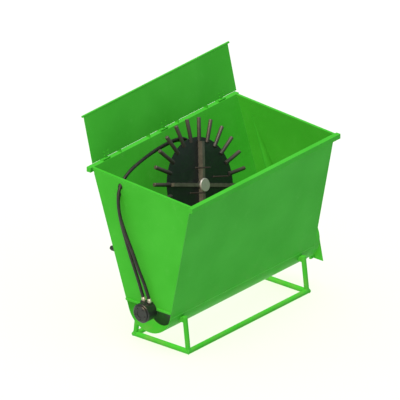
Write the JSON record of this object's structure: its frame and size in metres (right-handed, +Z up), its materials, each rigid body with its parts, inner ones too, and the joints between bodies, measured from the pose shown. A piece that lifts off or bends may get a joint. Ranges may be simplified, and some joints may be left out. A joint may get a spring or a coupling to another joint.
{
  "type": "hopper with finger disc and auger",
  "caption": "Stationary V-shaped hopper on a tubular skid, with a finger-disc agitator, a bottom auger, hydraulic motors, a hinged rear board and a discharge flap.",
  "frame": {"origin": "on the ground, in the middle of the footprint of everything but the hoses", "axes": "+X along the hopper from the auger motor to the outlet, +Y to the side with the rear board, +Z up"},
  "size_m": [2.252, 1.2768, 2.0756],
  "materials": {
    "green_paint": "gloss green enamel on sheet and tube, light dust and small scuffs",
    "black_paint": "satin black paint, rubbed by the load",
    "worn_steel": "dark round bar, rubbed brighter at the tips",
    "bright_steel": "turned bright steel",
    "motor_black": "black enamel on fine castings",
    "zinc_plate": "zinc-plated fittings and bolts",
    "hose_rubber": "smooth black hydraulic hose cover"
  },
  "bodies": {
    "hopper": {"front_wall": "green_paint", "rear_wall": "green_paint", "trough": "green_paint", "motor_end_wall": "green_paint", "outlet_end_wall": "green_paint", "outlet_cone": "green_paint", "outlet_collar": "green_paint", "rim_rails": "green_paint", "rail_caps": "green_paint", "end_bars": "green_paint", "end_wall_lips": "green_paint", "skid_rails": "green_paint", "skid_cross_tubes": "green_paint", "skid_posts": "green_paint", "post_caps": "green_paint", "post_pads": "green_paint", "outlet_bridge": "green_paint", "outlet_bearing": "motor_black", "flap_lugs": "green_paint", "flap_pin": "bright_steel", "flap_stops": "green_paint", "board_hinge_bases": "green_paint", "board_hinge_pins": "green_paint", "board_stops": "green_paint", "auger_motor_flange": "motor_black", "auger_motor_body": "motor_black", "auger_motor_cover": "motor_black", "auger_motor_screws": "motor_black", "auger_motor_ports": "motor_black", "auger_motor_bolts": "zinc_plate", "agitator_pedestal": "black_paint", "agitator_drive_plate": "black_paint", "agitator_bearing": "motor_black", "agitator_motor": "motor_black", "pedestal_bolts": "zinc_plate", "hose_adaptors": "zinc_plate", "hose_ferrules": "zinc_plate", "coupler_block": "green_paint", "supply_couplers": "motor_black", "pressure_hose": "hose_rubber", "return_hose": "hose_rubber", "hose_grommets": "hose_rubber"},
    "agitator": {"agitator_disc": "black_paint", "agitator_tines": "worn_steel", "agitator_arms": "black_paint", "agitator_studs": "worn_steel", "agitator_hub": "bright_steel", "agitator_hub_sleeves": "black_paint", "agitator_shaft": "bright_steel"},
    "auger": {"auger_tube": "black_paint", "auger_flights": "black_paint", "auger_stub_shafts": "bright_steel", "auger_coupling": "bright_steel", "auger_motor_shaft": "bright_steel"},
    "board": {"rear_board": "green_paint", "board_top_rod": "green_paint", "board_hinge_straps": "green_paint", "board_hinge_bolts": "green_paint"},
    "flap": {"flap_tube": "green_paint", "discharge_flap": "green_paint"}
  },
  "joints": [
    {"name": "agitator_spin", "type": "hinge", "parent": "hopper", "child": "agitator", "pos_m": [0.00901, 0.11805, 1.189], "axis": [0, -0.9494, 0.314], "continuous": true},
    {"name": "auger_spin", "type": "hinge", "parent": "hopper", "child": "auger", "pos_m": [0.00901, -0.12349, 0.41], "axis": [1, 0, 0], "continuous": true},
    {"name": "board_hinge", "type": "hinge", "parent": "hopper", "child": "board", "pos_m": [0.00901, 0.5265, 1.617], "axis": [1, 0, 0], "range_deg": [0, 60]},
    {"name": "flap_hinge", "type": "hinge", "parent": "hopper", "child": "flap", "pos_m": [1.09701, -0.12349, 0.703], "axis": [0, -1, 0], "range_deg": [0, 75]}
  ]
}
